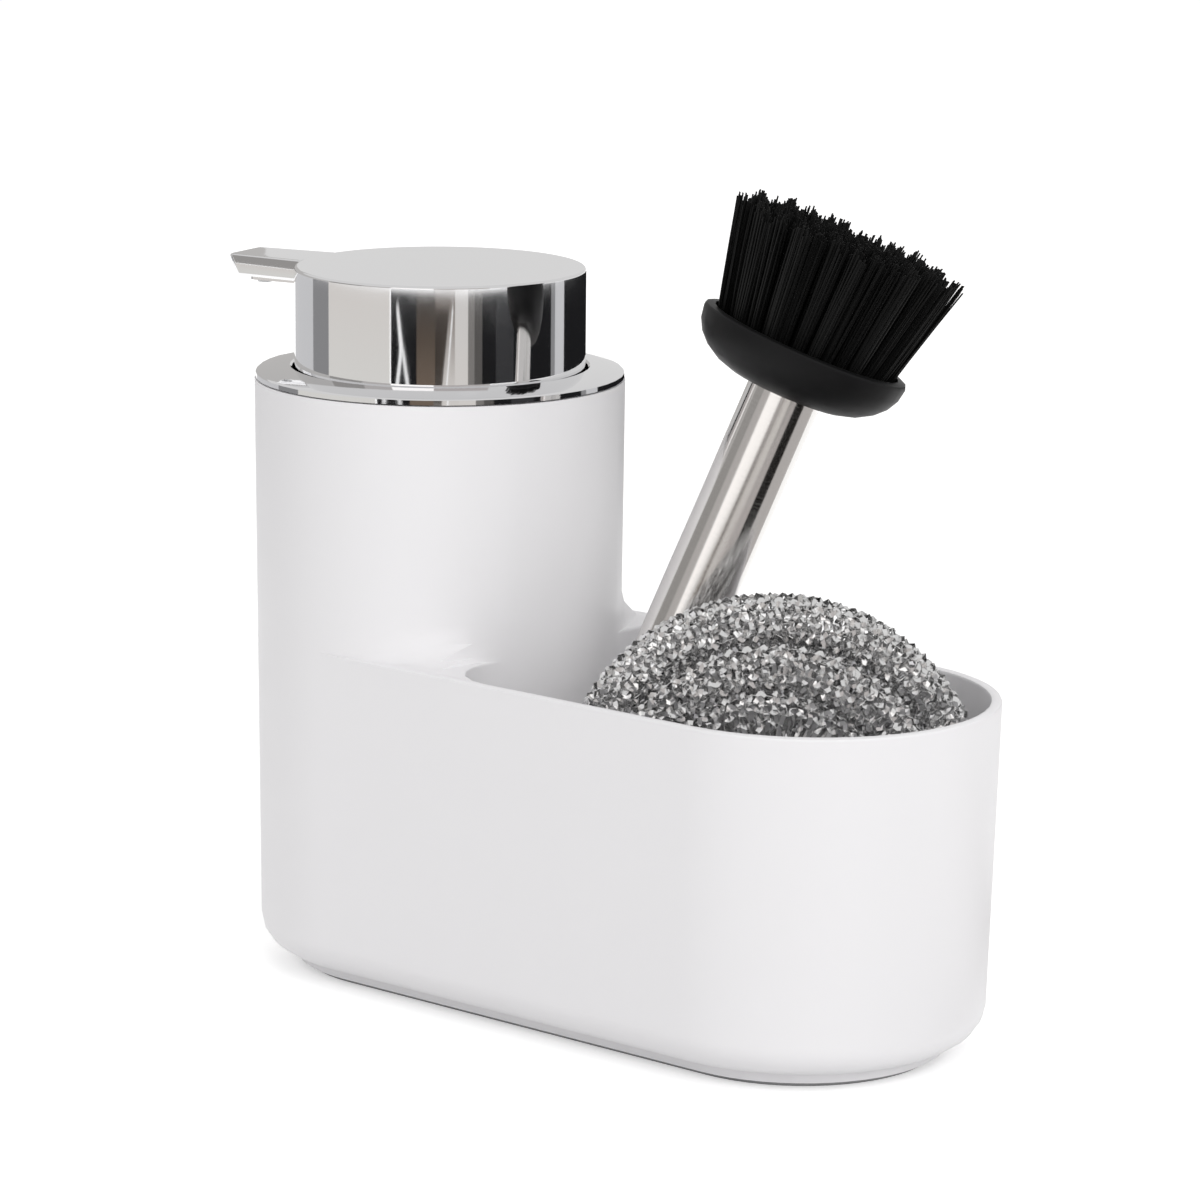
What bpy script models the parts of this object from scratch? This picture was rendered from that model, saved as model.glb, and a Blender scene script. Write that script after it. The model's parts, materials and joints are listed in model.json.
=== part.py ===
"""Sink-side soap dispenser: a white moulded caddy with a chrome pump, a dish brush and a metal scourer.

Metres, +Z up. The origin is on the pump's axis, level with the surface that the caddy stands on.
+X runs from the bottle to the tray's round end.
"""

import math
import random

import bmesh
import bpy
from mathutils import Matrix, Vector

# Clearances
seat_gap = 0.0003
slide_gap = 0.0006
overrun = 0.002
merge_distance = 0.00001

# Caddy moulding: one bottle and one tray
body_radius = 0.040
body_wall = 0.0024
bottle_height = 0.1295
rim_height = 0.075
tray_reach = 0.102
draft_angle = math.radians(0.4)
tray_end_angle = math.radians(1.5)
bottom_fillet = 0.007
floor_fillet = 0.004
horn_radius = 0.013
rim_round = 0.0008
web_fillet = 0.008
web_room_share = 0.6
round_start = 0.008
round_full = 0.014
foot_inset = 0.0075
foot_height = 0.0036
foot_draft = 0.0003
half_turn_steps = 28
horn_steps = 6
web_steps = 6
bottle_arc_steps = 18
fillet_steps = 4
web_fillet_steps = 3

# Anti-slip pad under the foot
pad_thickness = 0.0020
pad_proud = 0.0012
pad_rim = 0.0016
pad_round = 0.0004

# Pump head: a chrome cap with a tongue spout
head_radius = 0.0314
head_wall = 0.0012
head_rise = 0.0213
head_dip = 0.0026
head_round = 0.0006
press_travel = 0.010
head_steps = 56

# Spout
spout_angle = math.radians(191.6)
spout_reach = 0.0504
spout_root_width = 0.0158
spout_tip_width = 0.0132
spout_thickness = 0.0047
spout_drop = 0.0002
spout_end_slope = 0.0020
spout_round = 0.0007
keel_width = 0.0070
keel_drop = 0.0011
keel_past_outlet = 0.0022
spout_duct_width = 0.0056
spout_duct_height = 0.0026
spout_end_wall = 0.0038
outlet_inset = 0.0058
nozzle_radius = 0.0016
nozzle_bore = 0.0009
nozzle_proud = 0.0007

# Chrome lid plate round the head
plate_radius = 0.0398
plate_edge = 0.0014
plate_crown = 0.0010
plate_round = 0.0004
plate_sheet = 0.0010
plate_skirt = 0.0036
plate_steps = 48

# Plastic carrier under the plate, with a well that the head sinks into
carrier_wall = 0.0024
carrier_fit = 0.0006
well_depth = 0.0125
well_floor_thickness = 0.0020
carrier_chamfer = 0.0010
neck_height = 0.0060
neck_radius = 0.0130
seal_height = 0.0036
seal_drop = 0.0060
seal_depth = 0.0012
seal_waist = 0.0005
carrier_steps = 36

# Pump body
barrel_radius = 0.0090
barrel_wall = 0.0014
barrel_length = 0.0380
flange_radius = 0.0126
flange_thickness = 0.0016
gasket_thickness = 0.0010
tail_radius = 0.0043
tail_length = 0.0070
taper_length = 0.0050
valve_floor = 0.0024
chamber_radius = 0.0033
chamber_height = 0.0060
inlet_ball_radius = 0.0024
inlet_port = 0.0015
inlet_lift = 0.0015
pump_steps = 20

# Collar that clamps the pump to the carrier
collar_wall = 0.0030
collar_rib = 0.0007
collar_ribs = 18
collar_lip = 0.0015
collar_hole = 0.0056
collar_foot = 0.0010

# Stem guide
guide_flange = 0.0084
guide_flange_thickness = 0.0012
guide_depth = 0.0070
guide_chimney = 0.0046
guide_chimney_height = 0.0022

# Dip tube
tube_radius = 0.0025
tube_wall = 0.0007
tube_cut_height = 0.0040
tube_floor_gap = 0.0020
tube_steps = 12

# Plunger
stem_radius = 0.0030
stem_bore = 0.0010
stem_cup = 0.0019
stem_cup_depth = 0.0045
stem_foot = 0.0045
stem_foot_height = 0.0014
outlet_ball_radius = 0.0015
piston_height = 0.0060
piston_lip = 0.0010
piston_waist = 0.0009
guide_to_piston = 0.0007
spring_radius = 0.0056
spring_wire = 0.00045
spring_turns = 6
spring_points_per_turn = 10

# Socket inside the head
socket_radius = 0.0060
socket_clear = 0.0009
rib_thickness = 0.0014
rib_height = 0.0050
rib_count = 3
duct_radius = 0.0007

# Dish brush. Its axis leans from the tray's floor over towards the tray's far end.
brush_foot_x = 0.0469
brush_foot_y = -0.0194
brush_lean_x_share = 0.308
brush_lean_y_share = 0.277
handle_radius = 0.0080
handle_wall = 0.0008
handle_length = 0.1260
cap_shoulder = 0.0030
cap_plug = 0.0080
socket_plug = 0.0170
stud_radius = 0.0050
cup_radius = 0.0227
cup_height = 0.0113
cup_boss = 0.0096
cup_lip = 0.0021
cup_lip_round = 0.0010
cup_pocket = 0.0042
bowl_steps = 6
brush_steps = 28
backing_thickness = 0.0018
bristle_base_radius = 0.0196
bristle_top_radius = 0.0264
bristle_length = 0.0272
bristle_ragged = 0.0013
bristle_gap = 0.00034
bristle_taper_share = 0.62
bristle_columns = 7
bristle_rows = 6

# Scourer: a bun of wound metal ribbon that stands on its edge
scourer_half_thickness = 0.0135
scourer_x = 0.0962
scourer_y = -0.0044
scourer_turn = math.radians(-50.5)
scourer_turns = 4
scourer_points_per_turn = 24
scourer_pitch = 0.0090
scourer_core = 0.0045
scourer_turn_gap = 0.0008
scourer_start = math.radians(-80)
scourer_step_share = 0.3
scourer_fullness_share = 2.6
scourer_square_share = 0.75
scourer_sides = 8
scourer_wall = 0.0005

# Levels that follow from the sizes above
floor_level = foot_height + body_wall
plate_under = bottle_height + seat_gap
plate_top = plate_under + plate_edge + plate_crown
head_top = plate_top + head_rise
head_bottom = plate_top - head_dip
well_floor = bottle_height - well_depth
neck_top = well_floor + neck_height
gasket_under = neck_top + seat_gap
flange_under = gasket_under + gasket_thickness + seat_gap
flange_top = flange_under + flange_thickness
guide_under = flange_top + seat_gap
guide_top = guide_under + guide_flange_thickness
collar_under = guide_top + seat_gap
collar_top = collar_under + collar_lip
chimney_top = guide_top + guide_chimney_height
barrel_bore = barrel_radius - barrel_wall
barrel_bottom = flange_under - barrel_length
spring_seat = barrel_bottom + valve_floor + chamber_height
inlet_seat = barrel_bottom + valve_floor
tail_bottom = barrel_bottom - tail_length
guide_bottom = guide_under - guide_depth
piston_top = guide_bottom - guide_to_piston
piston_bottom = piston_top - piston_height
socket_bottom = chimney_top + press_travel + socket_clear
head_under = head_top - head_wall
spout_top = head_top - spout_drop
spout_under = spout_top - spout_thickness
keel_under = spout_under - keel_drop
duct_middle = head_under - seat_gap / 2 - spout_duct_height / 2
stem_top = duct_middle - spout_duct_height / 2 - seat_gap
outlet_seat = stem_top - stem_cup_depth
head_hole = head_radius + slide_gap
reservoir_floor = floor_level
scourer_radius = scourer_core + scourer_pitch * scourer_turns + (scourer_pitch - scourer_turn_gap) / 2


def clear_scene():
    for old in list(bpy.data.objects):
        bpy.data.objects.remove(old, do_unlink=True)


def new_collection(name, hidden=False):
    made = bpy.data.collections.new(name)
    made.hide_render = hidden
    bpy.context.scene.collection.children.link(made)
    return made


clear_scene()
parts = new_collection("soap_dispenser")
cutters = new_collection("cutters", hidden=True)


def material(name, colour, roughness, metallic=0.0):
    made = bpy.data.materials.new(name)
    made.use_nodes = True
    shader = made.node_tree.nodes["Principled BSDF"]
    shader.inputs["Base Color"].default_value = (*colour, 1.0)
    shader.inputs["Roughness"].default_value = roughness
    shader.inputs["Metallic"].default_value = metallic
    made.diffuse_color = (*colour, 1.0)
    return made


def place(name, mesh, finish, parent=None):
    """A part: its mesh in its parent's frame, or in the world's."""
    made = bpy.data.objects.new(name, mesh)
    made.data.materials.append(finish)
    made.parent = parent
    parts.objects.link(made)
    mesh.shade_smooth()
    mesh.set_sharp_from_angle(angle=math.radians(35))
    return made


def cutter(name, mesh):
    made = bpy.data.objects.new(name, mesh)
    made.hide_render = True
    made.display_type = "WIRE"
    cutters.objects.link(made)
    return made


def guide_empty(name, matrix):
    made = bpy.data.objects.new(name, None)
    made.matrix_world = matrix
    parts.objects.link(made)
    return made


def mesh_from(builder, name):
    built = bmesh.new()
    builder(built)
    bmesh.ops.recalc_face_normals(built, faces=built.faces)
    mesh = bpy.data.meshes.new(name)
    built.to_mesh(mesh)
    built.free()
    return mesh


def profile_mesh(name, points, closed):
    """The section of a turned piece, as edges in the XZ plane."""
    mesh = bpy.data.meshes.new(name)
    corners = [(radius, 0, height) for radius, height in points]
    edges = [(i, i + 1) for i in range(len(points) - 1)]
    if closed:
        edges.append((len(points) - 1, 0))
    mesh.from_pydata(corners, edges, [])
    return mesh


def turn(owner, steps):
    screw = owner.modifiers.new("turn", "SCREW")
    screw.angle = math.tau
    screw.steps = steps
    screw.render_steps = steps
    screw.use_merge_vertices = True
    screw.merge_threshold = merge_distance
    screw.use_smooth_shade = True
    return owner


def turned(name, points, finish, steps, closed=True, parent=None):
    """A turned part. Its section runs down the outside from the top, and back up the bore if it is closed."""
    made = bpy.data.objects.new(name, profile_mesh(name, points, closed))
    made.data.materials.append(finish)
    made.parent = parent
    parts.objects.link(made)
    return turn(made, steps)


def turned_cutter(name, points, steps, closed=False):
    made = turn(cutter(name, profile_mesh(name, points, closed)), steps)
    return made


def combine(owner, other, operation):
    boolean = owner.modifiers.new(other.name, "BOOLEAN")
    boolean.operation = operation
    boolean.object = other
    boolean.solver = "EXACT"
    return boolean


def bevel(owner, width, segments, angle=math.radians(40)):
    rounding = owner.modifiers.new("round", "BEVEL")
    rounding.width = width
    rounding.segments = segments
    rounding.limit_method = "ANGLE"
    rounding.angle_limit = angle
    return rounding


def arc(centre, radius, start, end, steps):
    """Points along an arc, ends included. Angles are counted as in mathematics."""
    across, along = centre
    return [
        (
            across + radius * math.cos(start + (end - start) * i / steps),
            along + radius * math.sin(start + (end - start) * i / steps),
        )
        for i in range(steps + 1)
    ]


def ring_faces(built, lower, upper):
    """Joins two closed rings of as many points."""
    for i in range(len(lower)):
        j = (i + 1) % len(lower)
        built.faces.new((lower[i], lower[j], upper[j], upper[i]))


def loft(built, sections, cap_ends=True):
    rings = [[built.verts.new(point) for point in section] for section in sections]
    for lower, upper in zip(rings, rings[1:]):
        ring_faces(built, lower, upper)
    if cap_ends:
        built.faces.new(rings[0])
        built.faces.new(rings[-1])
    return rings


# The caddy's outlines


def radius_at(height):
    """The bottle's outer radius. It draws in a little towards the floor, so that the mould lets go."""
    return body_radius - math.tan(draft_angle) * (bottle_height - height)


def reach_at(height):
    return tray_reach - math.tan(tray_end_angle) * (rim_height - height)


def stadium(inset, height, rounding=0.0):
    """The caddy's outer outline: the bottle's far side, then the tray's round end.

    The tray's part can draw in a little more, to round the rim's edge.
    """
    radius = radius_at(height) - inset
    tray = radius - rounding
    left = arc((0, 0), radius, math.pi / 2, 3 * math.pi / 2, half_turn_steps)
    right = arc((reach_at(height), 0), tray, -math.pi / 2, math.pi / 2, half_turn_steps)
    near = [(round_start, -radius), (round_full, -tray)]
    far = [(round_full, tray), (round_start, radius)]
    return [(x, y, height) for x, y in left + near + right + far]


def horn(inset, height):
    """Where the tray's rounded horn sits between the bottle and the side wall: centre, radius and angle."""
    radius = horn_radius - inset
    side = radius_at(height) - body_wall - inset - radius
    reach = radius_at(height) + inset + radius
    across = math.sqrt(reach**2 - side**2)
    return across, side, radius, math.atan2(side, across)


def horn_arc(centre, radius, start, end, flare):
    """A horn's points after its first, which lies on the bottle. The flare grows along it."""
    points = []
    for i in range(1, horn_steps + 1):
        angle = start + (end - start) * i / horn_steps
        reach = radius + flare * min(1, 2 * i / horn_steps)
        points.append((centre[0] + reach * math.cos(angle), centre[1] + reach * math.sin(angle)))
    return points


def pocket(inset, height, flare=0.0):
    """The tray's inner outline: bottle, near horn, round end, far horn."""
    across, side, radius, angle = horn(inset, height)
    end_radius = radius_at(height) - body_wall - inset + flare
    bottle = arc((0, 0), radius_at(height) + inset, angle, -angle, bottle_arc_steps)
    near = horn_arc((across, -side), radius, math.pi - angle, 3 * math.pi / 2, flare)
    end = arc((reach_at(height), 0), end_radius, -math.pi / 2, math.pi / 2, half_turn_steps)
    far = [(x, -y) for x, y in near[::-1]]
    return [(x, y, height) for x, y in bottle + near + end + far]


def bottle_angles():
    """Angles of the bottle's rings, with points where the tray's horns meet it."""
    angle = horn(0, rim_height)[3]
    back = [math.pi / 2 + math.pi * i / half_turn_steps for i in range(half_turn_steps)]
    quarter = math.pi / 2
    near = [-quarter + (quarter - angle) * i / web_steps for i in range(web_steps)]
    front = [-angle + 2 * angle * i / bottle_arc_steps for i in range(bottle_arc_steps)]
    far = [angle + (quarter - angle) * i / web_steps for i in range(web_steps)]
    return back + near + front + far


def web_flare(angle):
    """How far the fillet between bottle and web stands out from the bottle: none outside the webs."""
    middle = horn(0, rim_height)[3]
    if not middle < abs(angle) < math.pi / 2:
        return 0
    radius = radius_at(rim_height)
    room = (radius - rim_round) / abs(math.sin(angle)) - radius
    reach = radius + horn_radius
    aside = reach * math.sin(abs(angle) - middle)
    edge = horn_radius + rim_round
    if aside < edge:
        room = min(room, reach * math.cos(abs(angle) - middle) - math.sqrt(edge**2 - aside**2) - radius)
    return min(web_fillet, web_room_share * max(0, room))


def circle(radius, height, flare_share=0.0):
    points = []
    for angle in bottle_angles():
        reach = radius + flare_share * web_flare(angle)
        points.append((reach * math.cos(angle), reach * math.sin(angle), height))
    return points


def fillet_levels(radius, steps=fillet_steps):
    """Insets and rises of a rounded inside corner, from the floor up."""
    turns = [math.pi / 2 * i / steps for i in range(steps + 1)]
    return [(radius * (1 - math.sin(a)), radius * (1 - math.cos(a))) for a in turns]


def rounded_levels(radius):
    """Insets and heights below the top of a rounded outside edge, from its foot up."""
    turns = [math.pi / 4 * i for i in range(3)]
    return [(radius * (1 - math.cos(a)), radius * (1 - math.sin(a))) for a in turns]


def build_caddy(built):
    pad_edge = foot_inset + pad_rim
    recess_top = pad_thickness + seat_gap
    sections = [
        stadium(pad_edge, recess_top),
        stadium(pad_edge, pad_proud),
        stadium(foot_inset + foot_draft, pad_proud),
        stadium(foot_inset, foot_height),
    ]
    sections += [stadium(inset, foot_height + rise) for inset, rise in fillet_levels(bottom_fillet)]
    edge_levels = rounded_levels(rim_round)
    sections += [stadium(0, rim_height - drop, inset) for inset, drop in edge_levels]
    rings = loft(built, sections, cap_ends=False)
    built.faces.new(rings[0])
    outer = rings[-1]

    # The bottle's ring at the rim shares its back half with the outline below
    near_corner = half_turn_steps
    bottle = outer[: half_turn_steps + 1]
    rim_circle = circle(radius_at(rim_height), rim_height, 1.0)
    bottle += [built.verts.new(point) for point in rim_circle[half_turn_steps + 1 :]]
    first_front = half_turn_steps + web_steps
    last_front = first_front + bottle_arc_steps
    front = bottle[first_front : last_front + 1]

    # The tray's mouth shares the bottle's front with the bottle's ring
    mouth_points = pocket(0, rim_height, rim_round)[bottle_arc_steps + 1 :]
    mouth_rest = [built.verts.new(point) for point in mouth_points]
    mouth = front[::-1] + mouth_rest

    # The flat top of the rim, with the webs beside the bottle
    top = outer[near_corner:] + [outer[0]]
    top += bottle[: last_front - 1 : -1]
    top += mouth_rest[::-1]
    top += bottle[first_front:near_corner:-1]
    built.faces.new(top)

    # The tray's inside
    levels = fillet_levels(floor_fillet)[::-1]
    inside = [pocket(0, rim_height - drop, inset) for inset, drop in edge_levels[1::-1]]
    inside += [pocket(inset, floor_level + rise) for inset, rise in levels]
    lower_rings = loft(built, inside, cap_ends=False)
    ring_faces(built, lower_rings[0], mouth)
    built.faces.new(lower_rings[-1])

    # The bottle's outside with the fillets above the webs, its mouth and the reservoir
    up = []
    for inset, rise in fillet_levels(web_fillet, web_fillet_steps)[1:]:
        height = rim_height + rise
        up.append(circle(radius_at(height), height, inset / web_fillet))
    up.append(circle(radius_at(bottle_height), bottle_height))
    up.append(circle(radius_at(bottle_height) - body_wall, bottle_height))
    for inset, rise in levels:
        height = reservoir_floor + rise
        up.append(circle(radius_at(height) - body_wall - inset, height))
    upper_rings = loft(built, up, cap_ends=False)
    ring_faces(built, bottle, upper_rings[0])
    built.faces.new(upper_rings[-1])


def build_pad(built):
    edge = foot_inset + pad_rim + seat_gap
    loft(
        built,
        [
            stadium(edge + pad_round, 0),
            stadium(edge, pad_round),
            stadium(edge, pad_thickness),
        ],
    )


def make_caddy(white, grey):
    place("caddy_body", mesh_from(build_caddy, "caddy_body"), white)
    place("anti_slip_pad", mesh_from(build_pad, "anti_slip_pad"), grey)


# The lid unit


def make_plate(chrome):
    edge_top = plate_under + plate_edge
    skirt_bottom = plate_under - plate_skirt
    points = [
        (head_hole, plate_top - plate_round),
        (head_hole + plate_round, plate_top),
        ((plate_radius + head_hole) / 2, edge_top + plate_crown * 0.75),
        (plate_radius - plate_round, edge_top),
        (plate_radius, edge_top - plate_round),
        (plate_radius, plate_under),
        (head_hole + plate_sheet, plate_under),
        (head_hole + plate_sheet, skirt_bottom),
        (head_hole, skirt_bottom),
    ]
    turned("lid_plate", points, chrome, plate_steps)


def seal_top():
    return bottle_height - seal_drop


def make_carrier(plastic):
    outer = radius_at(bottle_height) - body_wall - carrier_fit
    inner = outer - carrier_wall
    groove = outer - seal_depth
    bottom = well_floor - well_floor_thickness
    bore = barrel_radius + seat_gap
    points = [
        (outer, bottle_height),
        (outer, seal_top()),
        (groove, seal_top()),
        (groove, seal_top() - seal_height),
        (outer, seal_top() - seal_height),
        (outer, bottom + carrier_chamfer),
        (outer - carrier_chamfer, bottom),
        (bore, bottom),
        (bore, neck_top),
        (neck_radius, neck_top),
        (neck_radius, well_floor),
        (inner, well_floor),
        (inner, bottle_height),
    ]
    turned("pump_carrier", points, plastic, carrier_steps)


def make_seal(rubber):
    outer = radius_at(seal_top() - seal_height) - body_wall - seat_gap
    inner = radius_at(bottle_height) - body_wall - carrier_fit - seal_depth + seat_gap
    top = seal_top() - seat_gap
    bottom = seal_top() - seal_height + seat_gap
    middle = (top + bottom) / 2
    lip = (top - bottom) / 4
    points = [
        (inner, top),
        (outer, top),
        (outer, top - lip),
        (outer - seal_waist, middle),
        (outer, bottom + lip),
        (outer, bottom),
        (inner, bottom),
    ]
    turned("lid_seal", points, rubber, carrier_steps)


def make_gasket(rubber):
    outer = flange_radius
    inner = barrel_radius + seat_gap
    top = gasket_under + gasket_thickness
    points = [(outer, top), (outer, gasket_under), (inner, gasket_under), (inner, top)]
    turned("neck_gasket", points, rubber, pump_steps)


def ribbed(radius, height):
    """One level of the collar's ribbed outside: each rib has two outer points and two inner ones."""
    points = []
    for i in range(2 * collar_ribs):
        angle = math.tau * i / (2 * collar_ribs)
        reach = radius + collar_rib if i % 2 else radius
        points.append((reach * math.cos(angle), reach * math.sin(angle), height))
    return points


def plain_ring(radius, height, steps):
    turns = [math.tau * i / steps for i in range(steps)]
    return [(radius * math.cos(a), radius * math.sin(a), height) for a in turns]


def build_collar(built):
    inner = neck_radius + seat_gap
    outer = inner + collar_wall
    bottom = well_floor + collar_foot
    steps = 2 * collar_ribs
    sections = [
        plain_ring(inner, collar_under, steps),
        plain_ring(inner, bottom, steps),
        ribbed(outer - collar_rib, bottom),
        ribbed(outer - collar_rib, collar_top - collar_rib),
        plain_ring(outer - collar_rib, collar_top, steps),
        plain_ring(collar_hole, collar_top, steps),
        plain_ring(collar_hole, collar_under, steps),
    ]
    rings = loft(built, sections, cap_ends=False)
    ring_faces(built, rings[-1], rings[0])


def make_cylinder(plastic):
    tube_hole = tube_radius + seat_gap
    points = [
        (flange_radius, flange_top),
        (flange_radius, flange_under),
        (barrel_radius, flange_under),
        (barrel_radius, barrel_bottom + taper_length),
        (tail_radius, barrel_bottom),
        (tail_radius, tail_bottom),
        (tube_hole, tail_bottom),
        (tube_hole, barrel_bottom),
        (inlet_port, barrel_bottom),
        (inlet_port, inlet_seat),
        (chamber_radius, inlet_seat + chamber_radius - inlet_port),
        (chamber_radius, spring_seat),
        (barrel_bore, spring_seat),
        (barrel_bore, flange_top),
    ]
    turned("pump_cylinder", points, plastic, pump_steps)


def make_guide(plastic):
    outer = barrel_bore - seat_gap
    bore = stem_radius + seat_gap
    points = [
        (guide_chimney, chimney_top),
        (guide_chimney, guide_top),
        (guide_flange, guide_top),
        (guide_flange, guide_under),
        (outer, guide_under),
        (outer, guide_bottom),
        (bore, guide_bottom),
        (bore, chimney_top),
    ]
    turned("cylinder_plug", points, plastic, pump_steps)


def make_dip_tube(plastic):
    bore = tube_radius - tube_wall
    top = barrel_bottom - seat_gap
    bottom = reservoir_floor + tube_floor_gap
    points = [(tube_radius, top), (tube_radius, bottom), (bore, bottom), (bore, top)]
    tube = turned("dip_tube", points, plastic, tube_steps)
    tilt = math.atan2(tube_cut_height, 2 * tube_radius)
    depth = tube_cut_height + overrun
    slab = bpy.data.meshes.new("dip_tube_cut")
    shape = bmesh.new()
    bmesh.ops.create_cube(shape, size=1)
    size = Matrix.Diagonal((4 * tube_radius, 4 * tube_radius, depth, 1))
    bmesh.ops.transform(shape, matrix=size, verts=shape.verts)
    shape.to_mesh(slab)
    shape.free()
    cut = cutter("dip_tube_cut", slab)
    middle = bottom + tube_cut_height / 2
    drop = Matrix.Translation((0, 0, -depth / 2))
    cut.matrix_world = Matrix.Translation((0, 0, middle)) @ Matrix.Rotation(tilt, 4, "Y") @ drop
    combine(tube, cut, "DIFFERENCE")


def ball(name, radius, height, finish):
    mesh = bpy.data.meshes.new(name)
    shape = bmesh.new()
    bmesh.ops.create_uvsphere(shape, u_segments=10, v_segments=7, radius=radius)
    shape.to_mesh(mesh)
    shape.free()
    made = place(name, mesh, finish)
    made.location = (0, 0, height)
    return made


def resting_height(seat, port, radius):
    """A ball's centre above a 45 degree seat, with the clearance square to the seat."""
    return seat - port + (radius + seat_gap) * math.sqrt(2)


def make_lid_unit(chrome, plastic, rubber, clear, steel):
    make_plate(chrome)
    make_carrier(plastic)
    make_seal(rubber)
    make_gasket(rubber)
    place("pump_collar", mesh_from(build_collar, "pump_collar"), plastic)
    make_cylinder(clear)
    make_guide(plastic)
    make_dip_tube(clear)
    ball("inlet_ball", inlet_ball_radius, resting_height(inlet_seat, inlet_port, inlet_ball_radius), steel)


# The plunger


def make_stem(plastic):
    bottom = piston_bottom - stem_foot_height - seat_gap
    points = [
        (stem_radius, stem_top),
        (stem_radius, piston_bottom - seat_gap),
        (stem_foot, piston_bottom - seat_gap),
        (stem_foot, bottom),
        (stem_bore, bottom),
        (stem_bore, outlet_seat),
        (stem_cup, outlet_seat + stem_cup - stem_bore),
        (stem_cup, stem_top),
    ]
    turned("piston_stem", points, plastic, pump_steps)
    height = resting_height(outlet_seat, stem_bore, outlet_ball_radius)
    return height


def make_piston(rubber):
    outer = barrel_bore - seat_gap
    bore = stem_radius + seat_gap
    waist = outer - piston_waist
    points = [
        (outer, piston_top),
        (outer, piston_top - piston_lip),
        (waist, piston_top - 2 * piston_lip),
        (waist, piston_bottom + 2 * piston_lip),
        (outer, piston_bottom + piston_lip),
        (outer, piston_bottom),
        (bore, piston_bottom),
        (bore, piston_top),
    ]
    turned("piston", points, rubber, pump_steps)


def wire_to_mesh(name, points, radius, finish):
    """A wire as one closed mesh with welded caps."""
    curve = bpy.data.curves.new(name, "CURVE")
    curve.dimensions = "3D"
    curve.bevel_depth = radius
    curve.bevel_resolution = 1
    curve.use_fill_caps = True
    spline = curve.splines.new("POLY")
    spline.points.add(len(points) - 1)
    for knot, point in zip(spline.points, points):
        knot.co = (*point, 1)
    drawn = bpy.data.objects.new(name + "_curve", curve)
    bpy.context.scene.collection.objects.link(drawn)
    bpy.context.view_layer.update()
    evaluated = drawn.evaluated_get(bpy.context.evaluated_depsgraph_get())
    mesh = bpy.data.meshes.new_from_object(evaluated)
    bpy.data.objects.remove(drawn)
    mesh.name = name
    shape = bmesh.new()
    shape.from_mesh(mesh)
    bmesh.ops.remove_doubles(shape, verts=shape.verts, dist=merge_distance)
    bmesh.ops.recalc_face_normals(shape, faces=shape.faces)
    shape.to_mesh(mesh)
    shape.free()
    mesh.materials.clear()
    return place(name, mesh, finish)


def make_spring(steel):
    start = spring_seat + seat_gap + spring_wire
    end = piston_bottom - seat_gap - spring_wire
    count = spring_turns * spring_points_per_turn
    points = []
    for i in range(count + 1):
        angle = math.tau * i / spring_points_per_turn
        height = start + (end - start) * i / count
        points.append((spring_radius * math.cos(angle), spring_radius * math.sin(angle), height))
    wire_to_mesh("return_spring", points, spring_wire, steel)
    pairs = [
        (Vector(points[i]) - Vector(points[j])).length
        for i in range(len(points))
        for j in range(i + spring_points_per_turn // 2, len(points))
    ]
    print(f"return_spring: least gap to itself {1000 * (min(pairs) - 2 * spring_wire):.2f} mm")


def make_plunger(plastic, rubber, steel):
    height = make_stem(plastic)
    make_piston(rubber)
    make_spring(steel)
    ball("outlet_ball", outlet_ball_radius, height, steel)


# The pump head


def box_mesh(name, low, high):
    mesh = bpy.data.meshes.new(name)
    shape = bmesh.new()
    bmesh.ops.create_cube(shape, size=1)
    size = [b - a for a, b in zip(low, high)]
    middle = [(a + b) / 2 for a, b in zip(low, high)]
    fit = Matrix.Translation(middle) @ Matrix.Diagonal((*size, 1))
    bmesh.ops.transform(shape, matrix=fit, verts=shape.verts)
    shape.to_mesh(mesh)
    shape.free()
    return mesh


def spout_frame():
    return Matrix.Rotation(spout_angle, 4, "Z")


def build_tongue(built):
    """The flat spout, drawn along +X. Its end face leans back towards its underside."""
    root = head_radius - head_wall * 3 / 4
    half_root = spout_root_width / 2
    half_tip = spout_tip_width / 2
    under_reach = spout_reach - spout_end_slope
    loft(
        built,
        [
            [
                (root, -half_root, spout_under),
                (under_reach, -half_tip, spout_under),
                (under_reach, half_tip, spout_under),
                (root, half_root, spout_under),
            ],
            [
                (root, -half_root, spout_top),
                (spout_reach, -half_tip, spout_top),
                (spout_reach, half_tip, spout_top),
                (root, half_root, spout_top),
            ],
        ],
    )
    tip_edges = [edge for edge in built.edges if all(v.co.x > root + overrun for v in edge.verts)]
    uprights = [edge for edge in tip_edges if edge.verts[0].co.z != edge.verts[1].co.z]
    bmesh.ops.bevel(
        built, geom=uprights, offset=spout_thickness / 3, segments=3, profile=0.5, affect="EDGES"
    )


def build_keel(built):
    """The shallow rib under the spout that houses the outlet, drawn along +X."""
    root = head_radius - head_wall * 3 / 4
    end = spout_reach - outlet_inset + keel_past_outlet
    half = keel_width / 2
    outline = [(root, -half), (end, -half), (end, half), (root, half)]
    loft(
        built,
        [
            [(x, y, keel_under) for x, y in outline],
            [(x, y, spout_under + spout_thickness / 4) for x, y in outline],
        ],
    )
    uprights = [edge for edge in built.edges if all(v.co.x > root + overrun for v in edge.verts)]
    uprights = [edge for edge in uprights if edge.verts[0].co.z != edge.verts[1].co.z]
    bmesh.ops.bevel(built, geom=uprights, offset=keel_width / 4, segments=2, profile=0.5, affect="EDGES")


def outlet_place():
    return spout_frame() @ Matrix.Translation((spout_reach - outlet_inset, 0, 0))


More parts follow.
